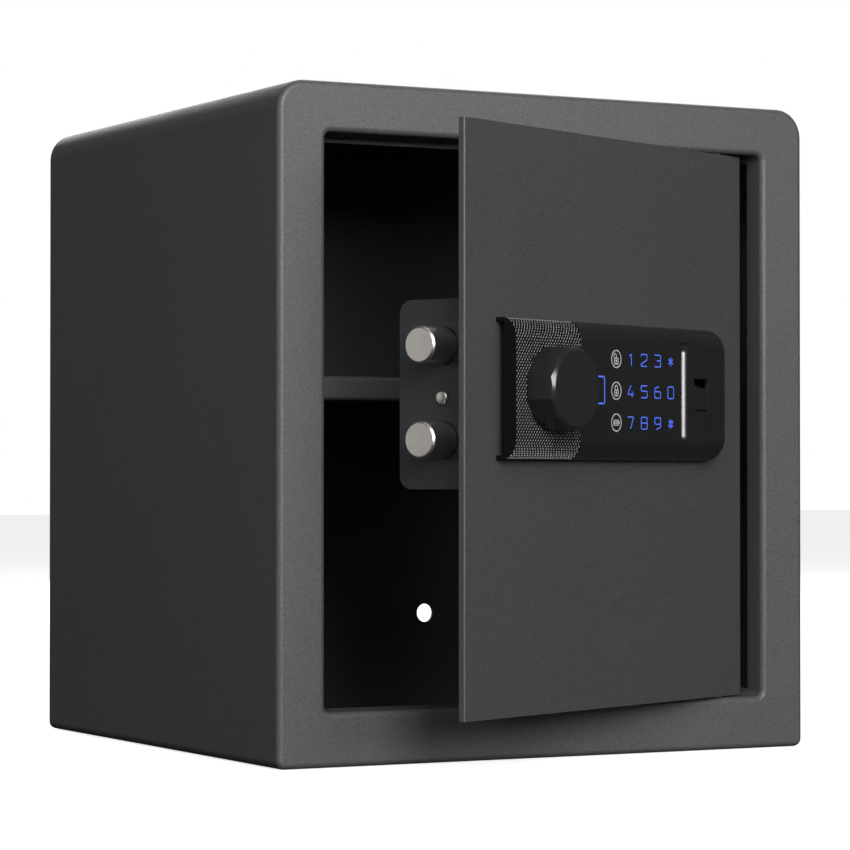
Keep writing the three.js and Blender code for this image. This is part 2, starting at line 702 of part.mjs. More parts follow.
function trimBar() {
  const { s, half, z0, z1 } = TRIM;
  const foot = PANEL.t - TRIM.deep + GAP;
  const outlineBar = new THREE.Shape();
  outlineBar.moveTo(X(s - half), T(foot));
  outlineBar.lineTo(X(s + half), T(foot));
  outlineBar.lineTo(X(s + half), T(PANEL.t));
  outlineBar.absellipse(X(s), T(PANEL.t), half, 1.6, 0, -Math.PI, true);
  const bar = extrude(outlineBar, "z", z0, z1);
  const cap = new THREE.Shape();
  cap.moveTo(X(s - half), z0 + half);
  cap.absarc(X(s), z0 + half, half, Math.PI, 2 * Math.PI, false);
  cap.lineTo(X(s + half), z1);
  cap.lineTo(X(s - half), z1);
  return mesh("trim_bar", bar.intersect(extrude(cap, "y", T(30), T(-1))), trimMetal);
}

function keyParts() {
  const { s, z } = KEY;
  const front = PANEL.t - 5.4;
  const housing = rod(8, front + 20, "y", [X(s), T(front), z]).subtract(
    rod(5.8, front + 22, "y", [X(s), T(front + 1), z]),
  );
  const tail = 24;
  const plug = rod(5.5, front + tail, "y", [X(s), T(front), z])
    .add(box(X(s - 3), X(s + 3), Y(tail - GAP), Y(tail + 2.5), z - 3, z + 14))
    .subtract(box(X(s - 0.9), X(s + 0.9), T(front + 1), T(front - 6), z - 3.8, z + 3.8));
  return [mesh("key_cylinder", housing, brassMetal), mesh("key_plug", plug, brassMetal)];
}

const FLAP = { thick: 1.6, t: 13.4, axis: 210.2, side: 0.2 };

function keyCover() {
  const { s, half, top } = KEY;
  const r = FLAP.thick / 2;
  const side = new THREE.Shape();
  side.moveTo(T(FLAP.t + r), top - 0.4);
  side.lineTo(T(FLAP.t + r), FLAP.axis);
  side.absarc(T(FLAP.t), FLAP.axis, r, Math.PI, 2 * Math.PI, false);
  side.lineTo(T(FLAP.t - r), top - 0.4);
  const width = [X(s - half + FLAP.side), X(s + half - FLAP.side)];
  return mesh("key_cover", extrude(side, "x", ...width), blackPlastic);
}

// ---- Assembly ----
const safe = new THREE.Group();
safe.add(bodyShell(), backPanel(), stopStrip(), shelf(), ...shelfBrackets(), ...hingeBushes());

const door = new THREE.Group();
door.position.set(PIVOT.x, PIVOT.y, 0);
door.rotation.z = THREE.MathUtils.degToRad(OPEN_ANGLE);
door.add(
  doorPanel(),
  ...hingeFittings(),
  lockCase(),
  ...caseFasteners(),
  ...boltBushes(),
  solenoidBody(),
  circuitBoard(),
  batteryTray(),
  ...batteries(),
  batteryCover(),
  ...resetParts(),
  meshCover(),
  keypadFascia(),
  panelBase(),
  keypadBoard(),
  trimBar(),
  ...keyParts(),
  keyCover(),
);

const boltWork = new THREE.Group();
boltWork.add(boltBar(), ...liveBolts(), ...boltNuts());
const knob = new THREE.Group();
knob.add(...knobParts());
const plunger = new THREE.Group();
plunger.add(solenoidPlunger(), plungerSpring());
door.add(boltWork, knob, plunger);
safe.add(door);

export default safe;
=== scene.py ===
"""The looks of a home safe with an electronic lock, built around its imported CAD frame.

Metres, unless a name or a comment says millimetres.
"""

import json
import math

import bmesh
import bpy
from mathutils import Matrix, Vector


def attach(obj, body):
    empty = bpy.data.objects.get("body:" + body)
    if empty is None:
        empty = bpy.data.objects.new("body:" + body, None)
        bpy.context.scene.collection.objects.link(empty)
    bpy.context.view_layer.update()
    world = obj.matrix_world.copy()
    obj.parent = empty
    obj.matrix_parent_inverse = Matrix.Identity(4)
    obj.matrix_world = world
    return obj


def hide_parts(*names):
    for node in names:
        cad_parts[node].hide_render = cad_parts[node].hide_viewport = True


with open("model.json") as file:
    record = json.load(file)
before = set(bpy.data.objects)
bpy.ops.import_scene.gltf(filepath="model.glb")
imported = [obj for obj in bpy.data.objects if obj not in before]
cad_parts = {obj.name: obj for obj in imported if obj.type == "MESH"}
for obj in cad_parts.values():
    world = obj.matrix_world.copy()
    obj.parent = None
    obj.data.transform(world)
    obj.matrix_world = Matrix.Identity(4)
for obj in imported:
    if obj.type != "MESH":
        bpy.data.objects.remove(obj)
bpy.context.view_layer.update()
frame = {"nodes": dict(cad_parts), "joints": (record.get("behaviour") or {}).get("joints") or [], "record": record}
NODES = frame["nodes"]
BODIES = frame["record"]["behaviour"]["bodies"]
BODY_OF = {node: body for body, members in BODIES.items() for node in members}
MM = Matrix.Scale(0.001, 4)

# ---- The door's own frame, in millimetres from the hinge axis ----
HINGE = next(j for j in frame["joints"] if j["name"] == "door_hinge")
OPEN_ANGLE = math.radians(-HINGE["range_deg"][0])
HINGE_PLACE = Matrix.Translation((HINGE["pos_m"][0], HINGE["pos_m"][1], 0))
DOOR = HINGE_PLACE @ Matrix.Rotation(OPEN_ANGLE, 4, "Z") @ MM


def local_box(node, space=DOOR):
    """(lowest corner, highest corner) of a CAD node in the millimetres of a space."""
    back = space.inverted()
    points = [back @ v.co for v in NODES[node].data.vertices]
    return tuple(Vector([pick(p[i] for p in points) for i in range(3)]) for pick in (min, max))


PANEL_LOW = local_box("door_panel")[0]
FREE_EDGE, FACE = PANEL_LOW.x, PANEL_LOW.y


def at(s, t, z):
    """A point s mm from the door's free edge, t mm out from its face and z mm up."""
    return Vector((FREE_EDGE + s, FACE - t, z))


# ---- Camera ----
CAMERA_YAW, CAMERA_PITCH = 28.053, 0.922
camera_data = bpy.data.cameras.new("camera")
camera_data.lens = 137.9
camera_data.sensor_width = 36
camera = bpy.data.objects.new("camera", camera_data)
camera.location = (-0.9907, -1.8766, 0.1688)
camera.rotation_euler = (math.radians(90 + CAMERA_PITCH), 0, math.radians(-CAMERA_YAW))
bpy.context.scene.collection.objects.link(camera)
bpy.context.scene.camera = camera


# ---- Materials ----
class Finish:
    """A Principled material whose detail comes from noise in object coordinates."""

    def __init__(self, name, colour, roughness, metallic=0.0, **sockets):
        self.made = bpy.data.materials.new(name)
        self.made.use_nodes = True
        self.tree = self.made.node_tree
        self.shader = self.tree.nodes["Principled BSDF"]
        self.colour = colour
        self.normal = None
        self.set("Base Color", (*colour, 1))
        self.set("Roughness", roughness)
        self.set("Metallic", metallic)
        for socket, value in sockets.items():
            self.set(socket.replace("_", " "), value)

    def set(self, socket, value):
        self.shader.inputs[socket].default_value = value

    def add(self, kind, **values):
        node = self.tree.nodes.new(kind)
        for key, value in values.items():
            setattr(node, key, value)
        return node

    def link(self, source, target):
        self.tree.links.new(source, target)

    def noise(self, size_mm, detail=2.0, stretch=(1, 1, 1), turn=0.0):
        """Noise whose blobs are about size_mm across, longer where stretch is over 1."""
        place = self.add("ShaderNodeTexCoord").outputs["Object"]
        mapping = self.add("ShaderNodeMapping", vector_type="POINT")
        mapping.inputs["Rotation"].default_value = (0, 0, -turn)
        mapping.inputs["Scale"].default_value = tuple(1 / a for a in stretch)
        self.link(place, mapping.inputs["Vector"])
        if turn and stretch != (1, 1, 1):
            # A mapping scales before it turns, so the stretch gets a mapping of its own.
            turned = self.add("ShaderNodeMapping", vector_type="POINT")
            turned.inputs["Scale"].default_value = tuple(1 / a for a in stretch)
            mapping.inputs["Scale"].default_value = (1, 1, 1)
            self.link(mapping.outputs["Vector"], turned.inputs["Vector"])
            mapping = turned
        texture = self.add("ShaderNodeTexNoise")
        texture.inputs["Scale"].default_value = 1000 / size_mm
        texture.inputs["Detail"].default_value = detail
        self.link(mapping.outputs["Vector"], texture.inputs["Vector"])
        return texture.outputs["Fac"]

    def span(self, value, low, high, start=0.3, end=0.7):
        """Maps a value from start..end to low..high."""
        node = self.add("ShaderNodeMapRange")
        self.link(value, node.inputs["Value"])
        limits = {"From Min": start, "From Max": end, "To Min": low, "To Max": high}
        for key, number in limits.items():
            node.inputs[key].default_value = number
        return node.outputs["Result"]

    def mottle(self, value, amount, start=0.3, end=0.7):
        """Varies the base colour by amount either way. A second mottle scales the first."""
        current = self.shader.inputs["Base Color"]
        if current.is_linked:
            scale = self.add("ShaderNodeVectorMath", operation="SCALE")
            self.link(current.links[0].from_socket, scale.inputs[0])
            self.link(self.span(value, 1 - amount, 1 + amount, start, end), scale.inputs["Scale"])
            self.link(scale.outputs["Vector"], current)
            return
        mix = self.add("ShaderNodeMix", data_type="RGBA", blend_type="MIX")
        self.link(self.span(value, 0, 1, start, end), mix.inputs["Factor"])
        colours = [c for c in mix.inputs if c.type == "RGBA"]
        for target, share in zip(colours, (1 - amount, 1 + amount)):
            target.default_value = (*[min(c * share, 1) for c in self.colour], 1)
        self.link([o for o in mix.outputs if o.type == "RGBA"][0], current)

    def polish(self, value, low, high):
        """Varies the roughness between low and high."""
        self.link(self.span(value, low, high), self.shader.inputs["Roughness"])

    def bump(self, value, height_mm):
        """Adds a bump of a height to the ones before it."""
        node = self.add("ShaderNodeBump")
        node.inputs["Strength"].default_value = 1
        node.inputs["Distance"].default_value = height_mm / 1000
        self.link(value, node.inputs["Height"])
        if self.normal:
            self.link(self.normal, node.inputs["Normal"])
        self.normal = node.outputs["Normal"]
        self.link(self.normal, self.shader.inputs["Normal"])


def powder_coat(name, colour, roughness, speckle):
    """Fine textured powder coat: a grain of about a millimetre over soft orange peel."""
    made = Finish(name, colour, roughness, 0.0, Specular_IOR_Level=0.5)
    fine = made.noise(0.85, 3)
    made.mottle(fine, speckle, 0.35, 0.65)
    made.mottle(made.noise(90, 2), 0.02)
    made.polish(made.noise(40, 3), roughness - 0.02, roughness + 0.02)
    made.bump(made.noise(3.2, 2), 0.05)
    made.bump(fine, 0.07)
    return made


def plastic(name, colour, roughness, grain_mm, height_mm):
    """A moulded plastic with a fine grain."""
    made = Finish(name, colour, roughness, 0.0, Specular_IOR_Level=0.5)
    made.mottle(made.noise(22, 4), 0.03)
    made.polish(made.noise(9, 5), roughness - 0.02, roughness + 0.03)
    made.bump(made.noise(grain_mm, 2), height_mm)
    return made


def metal(name, colour, roughness, stretch, size_mm, height_mm, spread, cloud=0.05):
    """A metal whose grain is stretched along, out from and up the open door."""
    made = Finish(name, colour, roughness, 1.0)
    lines = made.noise(size_mm, 3, stretch, OPEN_ANGLE)
    made.mottle(lines, cloud * 1.6)
    made.mottle(made.noise(14, 4), cloud)
    made.polish(made.noise(6, 4), roughness - spread, roughness + spread)
    made.bump(lines, height_mm)
    return made


def glow(name, colour, strength):
    """Lit ink, and printed ink whose glow is painted light."""
    made = Finish(name, colour, 0.4)
    made.set("Emission Color", (*colour, 1))
    made.set("Emission Strength", strength)
    made.mottle(made.noise(3, 2), 0.1)
    return made


BODY_PAINT = powder_coat("body paint", (0.078, 0.0775, 0.0775), 0.44, 0.24)
# The door's paint is set darker than the body's. This is painted shade, standing in for the light the turned-out
# door misses.
SHADED_DOOR_PAINT = powder_coat("door paint with painted shade", (0.054, 0.0537, 0.0537), 0.47, 0.26)
CASE_PAINT = powder_coat("case paint", (0.021, 0.0235, 0.026), 0.5, 0.2)
EVEN, TURNED_BOLT, TURNED_BRASS, DRAWN = (1, 1, 1), (0.5, 10, 10), (0.5, 6, 6), (1, 1, 60)
PLATED = metal("plated steel", (0.50, 0.51, 0.52), 0.36, EVEN, 0.8, 0.01, 0.1)
BOLT_STEEL = metal("bolt steel", (0.60, 0.57, 0.54), 0.33, TURNED_BOLT, 0.5, 0.0008, 0.012, 0.015)
BRASS = metal("brass", (0.70, 0.50, 0.22), 0.32, TURNED_BRASS, 0.6, 0.005, 0.08)
TRIM = metal("satin trim", (0.30, 0.30, 0.305), 0.45, DRAWN, 0.3, 0.0004, 0.02)
KNOB_PLASTIC = plastic("knob plastic", (0.016, 0.016, 0.0165), 0.21, 0.45, 0.0015)
PANEL_PLASTIC = plastic("panel plastic", (0.0118, 0.0118, 0.0121), 0.26, 0.5, 0.003)
# Near black, darker than the panel plastic, with a weak specular on the next line. This is painted shade in the
# gaps between the raised diamonds.
SHADED_MESH_PLASTIC = plastic("mesh plastic with painted shade", (0.003, 0.003, 0.0031), 0.55, 0.5, 0.008)
SHADED_MESH_PLASTIC.set("Specular IOR Level", 0.15)
# The raised diamonds and ribs are coloured far lighter than the black plastic they are moulded in. This is a
# painted highlight.
DOT_HIGHLIGHT_PLASTIC = plastic("mesh dots with painted highlight", (0.22, 0.22, 0.222), 0.24, 0.4, 0.004)
INNER_PLASTIC = plastic("inner plastic", (0.02, 0.02, 0.021), 0.5, 0.4, 0.02)
BUSH_PLASTIC = plastic("bush plastic", (0.62, 0.60, 0.54), 0.45, 0.6, 0.01)
RESET_RED = plastic("reset red", (0.42, 0.02, 0.02), 0.35, 0.5, 0.008)
GLYPH_BLUE = glow("lit blue", (0.07, 0.14, 0.70), 0.5)
# Printed ink made to glow, with no lamp behind it: a painted glow.
PRINT_WHITE_GLOW = glow("printed white with painted glow", (0.36, 0.36, 0.37), 0.24)


def board_finish():
    made = Finish("circuit board", (0.012, 0.09, 0.035), 0.35, 0.0, Coat_Weight=0.4)
    traces = made.noise(2.2, 1, (1, 1, 3))
    edge = 0.49, 0.51  # the noise values between which a trace rises out of the board
    made.mottle(made.span(traces, 0, 1, *edge), 0.35, 0, 1)
    made.bump(made.span(traces, 0, 1, *edge), 0.03)
    return made


def cell_finish():
    made = Finish("cell wrap", (0.02, 0.028, 0.04), 0.28, 0.1, Coat_Weight=0.5)
    made.mottle(made.noise(12, 3), 0.12)
    made.polish(made.noise(5, 4), 0.24, 0.36)
    made.bump(made.noise(1.2, 2), 0.01)
    return made


BOARD = board_finish()
CELL = cell_finish()


# ---- Pieces ----
FLAT_ANGLE = 0.4  # degrees: CAD triangles that meet at less than this are one face


def smooth(obj, bevel_mm, angle, segments=2):
    """Rounds the edges sharper than angle and shades the rest smooth, flat faces staying flat."""
    obj.data.shade_smooth()
    if bevel_mm:
        bevel = obj.modifiers.new("edges", "BEVEL")
        bevel.limit_method = "ANGLE"
        bevel.angle_limit = math.radians(angle)
        bevel.width = bevel_mm / 1000
        bevel.segments = segments
        bevel.use_clamp_overlap = True
        bevel.miter_outer = "MITER_ARC"
    else:
        obj.data.set_sharp_from_angle(angle=math.radians(angle))
    weighted = obj.modifiers.new("shading", "WEIGHTED_NORMAL")
    weighted.keep_sharp = True
    weighted.weight = 80


def piece(name, bm, space, body, finish, slot, stands_for, bevel_mm, angle=30, segments=2):
    """An object from a bmesh in a space, with its body, looks and the nodes it replaces. The slot argument is not
    used.
    """
    bm.transform(space)
    bmesh.ops.recalc_face_normals(bm, faces=bm.faces)
    data = bpy.data.meshes.new(name)
    bm.to_mesh(data)
    bm.free()
    obj = bpy.data.objects.new(name, data)
    bpy.context.scene.collection.objects.link(obj)
    smooth(obj, bevel_mm, angle, segments)
    data.materials.append(finish.made)
    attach(obj, body)
    if stands_for:
        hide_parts(*stands_for)
    return obj


def refined(node, finish, slot, bevel_mm, angle=40, segments=2):
    """A copy of a CAD node with its triangles merged into faces and its edges rounded."""
    source = NODES[node].data
    bm = bmesh.new()
    points = [bm.verts.new(v.co) for v in source.vertices]
    for polygon in source.polygons:
        try:
            bm.faces.new([points[i] for i in polygon.vertices])
        except ValueError:  # a face that is there already
            pass
    bmesh.ops.remove_doubles(bm, verts=bm.verts, dist=2e-6)
    limit = math.radians(FLAT_ANGLE)
    bmesh.ops.dissolve_limit(bm, angle_limit=limit, verts=bm.verts, edges=bm.edges)
    shading = bevel_mm, angle, segments
    piece(node + "_fine", bm, Matrix.Identity(4), BODY_OF[node], finish, slot, (node,), *shading)


def lathe(bm, profile, axis, origin, sides):
    """Adds a solid of revolution from (radius, distance along axis from origin) pairs in mm."""
    axis = Vector(axis).normalized()
    side = axis.orthogonal().normalized()
    other = axis.cross(side)
    rings = []
    for r, h in profile:
        centre = origin + axis * h
        if r < 1e-6:
            rings.append([bm.verts.new(centre)])
            continue
        ring = []
        for i in range(sides):
            a = 2 * math.pi * i / sides
            point = centre + side * (r * math.cos(a)) + other * (r * math.sin(a))
            ring.append(bm.verts.new(point))
        rings.append(ring)
    for low, high in zip(rings, rings[1:]):
        for i in range(sides):
            j = (i + 1) % sides
            if len(low) == 1 and len(high) > 1:
                bm.faces.new((low[0], high[i], high[j]))
            elif len(high) == 1 and len(low) > 1:
                bm.faces.new((low[i], low[j], high[0]))
            elif len(low) > 1:
                bm.faces.new((low[i], low[j], high[j], high[i]))


def arc_profile(points, radius, steps=4):
    """A path's points with every corner between its ends rounded."""
    out = [points[0]]
    for before, corner, after in zip(points, points[1:], points[2:]):
        a, c, b = Vector(before), Vector(corner), Vector(after)
        reach = min(radius, (a - c).length / 2, (b - c).length / 2)
        start, end = c + (a - c).normalized() * reach, c + (b - c).normalized() * reach
        for i in range(steps + 1):
            u = i / steps
            out.append(tuple(start * (1 - u) ** 2 + c * (2 * u * (1 - u)) + end * u**2))
    out.append(points[-1])
    return out


def rounded(points, radius, closed=False):
    """A path in (s, z) with its corners rounded."""
    if not closed:
        return arc_profile(points, radius)
    middle = tuple((Vector(points[0]) + Vector(points[-1])) / 2)
    return arc_profile([middle, *points, middle], radius)[:-1]


def ribbon(bm, path, width, t0, t1, closed=False):
    """Adds a flat stroke along a path in (s, z), from t0 to t1 out from the door's face."""
    points = [Vector(p) for p in path]
    count = len(points)
    edges = []
    for i, p in enumerate(points):
        before = points[i - 1] if closed or i else None
        after = points[(i + 1) % count] if closed or i < count - 1 else None
        into = (p - before).normalized() if before is not None else None
        out = (after - p).normalized() if after is not None else None
        into, out = into or out, out or into
        across = Vector((-(into + out).y, (into + out).x)).normalized()
        stretch = 1 / max(across.dot(Vector((-into.y, into.x))), 0.4)
        edges.append((p + across * (width / 2 * stretch), p - across * (width / 2 * stretch)))
    rows = [[bm.verts.new(at(q.x, t, q.y)) for q in pair for t in (t0, t1)] for pair in edges]
    pairs = list(zip(rows, rows[1:])) + ([(rows[-1], rows[0])] if closed else [])
    for a, b in pairs:
        for i, j in ((0, 1), (1, 3), (3, 2), (2, 0)):
            bm.faces.new((a[i], a[j], b[j], b[i]))
    if not closed:
        for row in (rows[0], rows[-1]):
            bm.faces.new((row[0], row[1], row[3], row[2]))


# ---- Cabinet ----
refined("body_shell", BODY_PAINT, "body_paint", 0.3)
refined("back_panel", BODY_PAINT, "body_paint", 0.4)
refined("door_stop_strip", BODY_PAINT, "body_paint", 0.4)
refined("shelf", BODY_PAINT, "body_paint", 0.25)
for end in ("left_front", "left_rear", "right_front", "right_rear"):
    refined("shelf_bracket_" + end, PLATED, "plated_steel", 0.3)
for end in ("top", "bottom"):
    refined("hinge_bush_" + end, BRASS, "brass", 0.25)
    refined("hinge_block_" + end, PLATED, "plated_steel", 0.8, segments=3)
    refined("hinge_pin_" + end, BOLT_STEEL, "bolt_steel", 0.4)

# ---- Door and lock case ----
refined("door_panel", SHADED_DOOR_PAINT, "door_paint", 0.5, 32, 3)
refined("lock_case", CASE_PAINT, "case_paint", 0.35)
for node in ("bolt_bush_upper", "bolt_bush_lower"):
    refined(node, BUSH_PLASTIC, "bush_plastic", 0.4)
for node in (
    "bolt_bar",
    "bolt_nut_upper",
    "bolt_nut_lower",
    "drive_cam",
    "knob_spindle",
    "solenoid_body",
):
    refined(node, PLATED, "plated_steel", 0.3)
for i in (1, 2, 3, 4):
    refined(f"case_post_{i}", PLATED, "plated_steel", 0.25)
    refined(f"battery_{i}", CELL, "cell_wrap", 0.4)
refined("circuit_board", BOARD, "circuit_board", 0.2)
refined("keypad_board", BOARD, "circuit_board", 0.2)
refined("battery_tray", INNER_PLASTIC, "inner_plastic", 0.4)
refined("battery_cover", INNER_PLASTIC, "inner_plastic", 0.4)
refined("reset_switch", INNER_PLASTIC, "inner_plastic", 0.4)
refined("panel_base", INNER_PLASTIC, "inner_plastic", 0.4)
refined("reset_button", RESET_RED, "reset_red", 0.4)
refined("solenoid_plunger", BOLT_STEEL, "bolt_steel", 0.3)
refined("key_cylinder", BRASS, "brass", 0.3)
refined("key_plug", BRASS, "brass", 0.25)
NODES["plunger_spring"].data.materials.clear()
NODES["plunger_spring"].data.materials.append(BOLT_STEEL.made)


def live_bolt(name):
    """A chamfered bolt with a spigot at its inner end."""
    low, high = local_box(name)
    radius = (high.z - low.z) / 2
    length = high.x - low.x
    spigot, spigot_length, chamfer = 4, 9.5, 1.1
    shoulder = length - spigot_length
    outline = [(0, 0), (radius - chamfer, 0), (radius, chamfer), (radius, shoulder)]
    outline += [(spigot, shoulder), (spigot, length), (0, length)]
    tip = Vector((low.x, (low.y + high.y) / 2, (low.z + high.z) / 2))
    bm = bmesh.new()
    lathe(bm, arc_profile(outline, 0.25, 3), (1, 0, 0), tip, 96)
    piece(name + "_fine", bm, DOOR, "bolt_work", BOLT_STEEL, "bolt_steel", (name,), 0, 50)


for name in ("live_bolt_upper", "live_bolt_lower"):
    live_bolt(name)


SCREW_SHARP = 35  # degrees


def cut(obj, cutter, space):
    """Takes the solids of a bmesh out of an object, for good."""
    cutter.transform(space)
    bmesh.ops.recalc_face_normals(cutter, faces=cutter.faces)
    data = bpy.data.meshes.new("cutter")
    cutter.to_mesh(data)
    cutter.free()
    tool = bpy.data.objects.new("cutter", data)
    bpy.context.scene.collection.objects.link(tool)
    obj.modifiers.clear()
    boolean = obj.modifiers.new("cut", "BOOLEAN")
    boolean.operation = "DIFFERENCE"
    boolean.solver = "EXACT"
    boolean.use_self = True
    boolean.object = tool
    graph = bpy.context.evaluated_depsgraph_get()
    made = bpy.data.meshes.new_from_object(obj.evaluated_get(graph))
    obj.modifiers.clear()
    finish = obj.data.materials[0]
    obj.data = made
    obj.data.materials.clear()
    obj.data.materials.append(finish)
    bpy.data.objects.remove(tool)
    smooth(obj, 0, SCREW_SHARP)


def case_screw(name):
    """A domed screw with a cross recess, in the box of its CAD node."""
    head_height, rim, recess = 2.4, 0.4, 1.3
    low, high = local_box(name)
    axis = Vector((0, 1, 0))
    length = high.y - low.y
    radius = max(high.x - low.x, high.z - low.z) / 2
    start = (low + high) / 2 - axis * (length / 2)
    shank, foot = radius * 0.55, length - head_height
    profile = [(0, 0), (shank, 0), (shank, foot), (radius, foot)]
    for i in range(8):
        a = math.pi / 2 * i / 8
        profile.append((radius * math.cos(a), foot + rim + (head_height - rim) * math.sin(a)))
    profile.append((0, length))
    bm = bmesh.new()
    lathe(bm, profile, axis, start, 48)
    looks = PLATED, "plated_steel", (name,), 0, SCREW_SHARP
    obj = piece(name + "_fine", bm, DOOR, "door", *looks)
    cutter = bmesh.new()
    reach, half = radius * 0.58, radius * 0.13
    first = axis.orthogonal().normalized()
    second = axis.cross(first)
    for u, v in ((first, second), (second, first)):
        rows = []
        for h, share in ((length - recess, 0.35), (length + 1, 1.1)):
            for a, b in ((-1, -1), (1, -1), (1, 1), (-1, 1)):
                corner = u * (a * reach * share) + v * (b * half)
                rows.append(cutter.verts.new(start + axis * h + corner))
        for i in range(4):
            j = (i + 1) % 4
            cutter.faces.new((rows[i], rows[j], rows[4 + j], rows[4 + i]))
        cutter.faces.new(rows[3::-1])
        cutter.faces.new(rows[4:])
    cut(obj, cutter, DOOR)


for i in (1, 2, 3, 4):
    case_screw(f"case_screw_{i}")


def button_screw(name):
    """The plain low-domed screw in the side of the lock case."""
    low, high = local_box(name)
    radius, shank, length = (high.z - low.z) / 2, 1.6, high.x - low.x
    foot, rim = length - 2.5, length - 2.1
    outline = [(0, 0), (shank, 0), (shank, foot), (radius, foot), (radius, rim)]
    outline += [(radius - 0.5, length - 1.2), (0, length - 0.6)]
    inner_end = Vector((high.x, (low.y + high.y) / 2, (low.z + high.z) / 2))
    bm = bmesh.new()
    lathe(bm, arc_profile(outline, 0.5), (-1, 0, 0), inner_end, 48)
    piece(name + "_fine", bm, DOOR, "door", BOLT_STEEL, "bolt_steel", (name,), 0, 50)


button_screw("case_side_screw")

# ---- Lock panel ----
refined("mesh_cover", SHADED_MESH_PLASTIC, "mesh_plastic", 0.3)
refined("keypad_fascia", PANEL_PLASTIC, "panel_plastic", 0.1)
refined("key_cover", PANEL_PLASTIC, "panel_plastic", 0.06)
refined("knob", KNOB_PLASTIC, "knob_plastic", 0.18, 20)

PANEL_T = FACE - local_box("keypad_fascia")[0].y
MESH_LOW, MESH_HIGH = local_box("mesh_cover")
KNOB_LOW, KNOB_HIGH = local_box("knob")
KNOB_S = (KNOB_LOW.x + KNOB_HIGH.x) / 2 - FREE_EDGE
KNOB_Z = (KNOB_LOW.z + KNOB_HIGH.z) / 2
KNOB_R = (KNOB_HIGH.z - KNOB_LOW.z) / 2
ROUND_T, ROUND_Z = 10.5, 11.5  # the lock panel's long edges are quarter ellipses
MESH_MID = (MESH_LOW.z + MESH_HIGH.z) / 2
MESH_FLAT = (MESH_HIGH.z - MESH_LOW.z) / 2 - ROUND_Z
TEXTURE_END = math.radians(62)  # how far round the long edges the texture goes


def edge_table(steps=200):
    """(arc length, angle) pairs along the quarter ellipse of a long edge."""
    table, length = [(0.0, 0.0)], 0.0
    for i in range(steps):
        a = math.pi / 2 * (i + 0.5) / steps
        length += math.hypot(ROUND_T * math.sin(a), ROUND_Z * math.cos(a)) * math.pi / 2 / steps
        table.append((length, math.pi / 2 * (i + 1) / steps))
    return table


EDGE = edge_table()
TEXTURE_REACH = MESH_FLAT + next(length for length, angle in EDGE if angle >= TEXTURE_END)


def panel_skin(v, lift):
    """(t, z) at arc length v from the lock panel's middle line, lifted off its surface."""
    over = abs(v) - MESH_FLAT
    if over <= 0:
        return PANEL_T + lift, MESH_MID + v
    a = next((angle for length, angle in EDGE if length >= over), math.pi / 2)
    normal = Vector((ROUND_Z * math.cos(a), ROUND_T * math.sin(a))).normalized()
    t = PANEL_T - ROUND_T * (1 - math.cos(a)) + lift * normal.x
    return t, MESH_MID + math.copysign(MESH_FLAT + ROUND_Z * math.sin(a) + lift * normal.y, v)


def mesh_dots():
    """Staggered raised diamonds over the mesh cover's front and round its long edges."""
    pitch_s, pitch_z = 2.6, 3.25
    s_start, s_end = MESH_LOW.x - FREE_EDGE + 0.75, MESH_HIGH.x - FREE_EDGE - 0.5
    half_s, half_z, height = 0.42, 0.80, 0.34
    top = 0.35  # a diamond's top as a share of its foot
    lean = 0.5  # how far it slants along the door for each mm up
    sunk = 0.1  # how far its foot goes into the cover
    bm = bmesh.new()

    def dot(s, v):
        base = [(-half_s, 0), (0, -half_z), (half_s, 0), (0, half_z)]
        low, high = [], []
        for ds, dv in base:
            t, z = panel_skin(v + dv, -sunk)
            low.append(bm.verts.new(at(s + ds + lean * dv, t, z)))
            t, z = panel_skin(v + dv * top, height)
            high.append(bm.verts.new(at(s + (ds + lean * dv) * top, t, z)))
        for i in range(4):
            j = (i + 1) % 4
            bm.faces.new((low[i], low[j], high[j], high[i]))
        bm.faces.new(high)
        bm.faces.new(low[::-1])

    rows = int(TEXTURE_REACH // (pitch_z / 2))
    for row in range(-rows, rows + 1):
        v = row * pitch_z / 2
        s = s_start + (pitch_s / 2 if row % 2 else 0)
        while s <= s_end:
            from_knob = math.hypot(s - KNOB_S, panel_skin(v, 0)[1] - KNOB_Z)
            if from_knob > KNOB_R - 1:  # the knob hides the rest
                dot(s, v)
            s += pitch_s
    # The diamonds' light colour is a painted highlight.
    piece("mesh_cover_dots", bm, DOOR, "door", DOT_HIGHLIGHT_PLASTIC, "mesh_plastic", (), 0, 25)


def mesh_ribs():
    """A fine rib along the upper and lower edge of the texture."""
    bm = bmesh.new()
    start, end = MESH_LOW.x - FREE_EDGE + 0.5, MESH_HIGH.x - FREE_EDGE - 0.4
    reach = TEXTURE_REACH + 1.2
    section = ((-0.35, -0.1), (-0.2, 0.3), (0.2, 0.3), (0.35, -0.1))  # (offset, lift)
    for side in (-1, 1):
        rows = []
        for s in (start, end):
            skin = [panel_skin(side * (reach + offset), lift) for offset, lift in section]
            rows.append([bm.verts.new(at(s, t, z)) for t, z in skin])
        for i in range(4):
            j = (i + 1) % 4
            bm.faces.new((rows[0][i], rows[0][j], rows[1][j], rows[1][i]))
        bm.faces.new(rows[0])
        bm.faces.new(rows[1][::-1])
    # The ribs take the dots' light colour, a painted highlight line along the texture's edges.
    piece("mesh_cover_ribs", bm, DOOR, "door", DOT_HIGHLIGHT_PLASTIC, "mesh_plastic", (), 0.05, 25)


